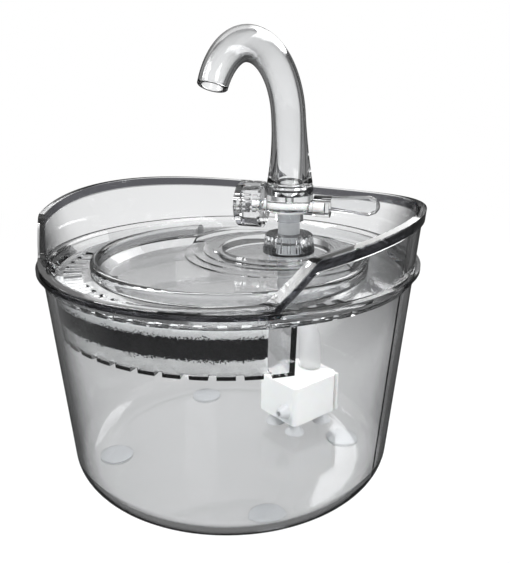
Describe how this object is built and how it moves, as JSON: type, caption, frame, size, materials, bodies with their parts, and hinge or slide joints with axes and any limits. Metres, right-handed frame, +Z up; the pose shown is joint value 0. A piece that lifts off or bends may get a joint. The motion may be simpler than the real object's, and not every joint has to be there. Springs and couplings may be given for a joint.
{
  "type": "pet water fountain",
  "caption": "Round clear water fountain for pets: a flared tank, a drinking tray with a swan neck tap, a filter box under the tray and a small pump inside.",
  "frame": {"origin": "on the floor under the tank's axis, which is also the middle of the object's rest area", "axes": "+Z up, -Y towards the low drinking side, +Y towards the tap, +X to the lever's side"},
  "size_m": [0.1912, 0.19, 0.2247],
  "materials": {
    "clear_plastic": "clear, polished",
    "grey_plastic": "mid grey, smooth",
    "white_plastic": "white, fine matt",
    "milky_silicone": "milky, soft",
    "seal_rubber": "black, soft",
    "white_cotton": "loose white fibre",
    "carbon": "black grains",
    "steel": "plain",
    "core_iron": "stacked sheets",
    "copper_wire": "enamelled wire",
    "ceramic": "polished ceramic",
    "magnet": "dark, dull",
    "foot_rubber": "translucent, soft",
    "gasket_rubber": "grey, soft"
  },
  "bodies": {
    "tank_body": {"tank": "clear_plastic", "tank_feet": "foot_rubber", "pump_housing": "white_plastic", "housing_back_plate": "white_plastic", "lead_gland": "gasket_rubber", "stator_core": "core_iron", "stator_coil": "copper_wire", "rear_shaft_bush": "gasket_rubber", "impeller_shaft": "ceramic", "suction_cups": "gasket_rubber"},
    "tray_body": {"drinking_tray": "clear_plastic", "faucet_base": "clear_plastic", "base_gasket": "gasket_rubber", "base_nut": "white_plastic", "riser_hose": "milky_silicone"},
    "filter_body": {"filter_box": "clear_plastic", "lower_filter_cotton": "white_cotton", "carbon_granules": "carbon", "upper_filter_cotton": "white_cotton"},
    "tap_body": {"faucet_stem": "grey_plastic", "stem_o_ring": "seal_rubber", "valve_body": "clear_plastic"},
    "spout_body": {"swan_neck_spout": "clear_plastic", "spout_o_ring": "seal_rubber"},
    "valve_turner": {"valve_spindle": "white_plastic", "spindle_o_rings": "seal_rubber", "valve_knob": "clear_plastic", "knob_screw": "steel", "valve_lever": "clear_plastic"},
    "cover_body": {"pump_cover": "white_plastic", "front_shaft_bush": "gasket_rubber"},
    "slider_body": {"flow_slider": "grey_plastic"},
    "rotor": {"rotor_magnet": "magnet", "impeller": "grey_plastic"}
  },
  "joints": [
    {"name": "tray_lift", "type": "slide", "parent": "tank_body", "child": "tray_body", "axis": [0, 0, 1], "range_m": [0, 0.085]},
    {"name": "filter_release", "type": "slide", "parent": "tray_body", "child": "filter_body", "axis": [0, 0, -1], "range_m": [0, 0.012]},
    {"name": "tap_pull", "type": "slide", "parent": "tray_body", "child": "tap_body", "axis": [0, 0, 1], "range_m": [0, 0.016]},
    {"name": "spout_swivel", "type": "hinge", "parent": "tap_body", "child": "spout_body", "pos_m": [0, 0.061, 0.142], "axis": [0, 0, 1], "range_deg": [-60, 60]},
    {"name": "valve_turn", "type": "hinge", "parent": "tap_body", "child": "valve_turner", "pos_m": [0, 0.061, 0.129], "axis": [0.9659, 0.2588, 0], "range_deg": [0, 90]},
    {"name": "cover_pull", "type": "slide", "parent": "tank_body", "child": "cover_body", "axis": [0.309, 0.9511, 0], "range_m": [0, 0.008]},
    {"name": "flow_slide", "type": "slide", "parent": "cover_body", "child": "slider_body", "axis": [0.9511, -0.309, 0], "range_m": [-0.004, 0.004]},
    {"name": "impeller_spin", "type": "hinge", "parent": "tank_body", "child": "rotor", "pos_m": [0.019, 0.043, 0.0241], "axis": [0.309, 0.9511, 0], "continuous": true}
  ]
}
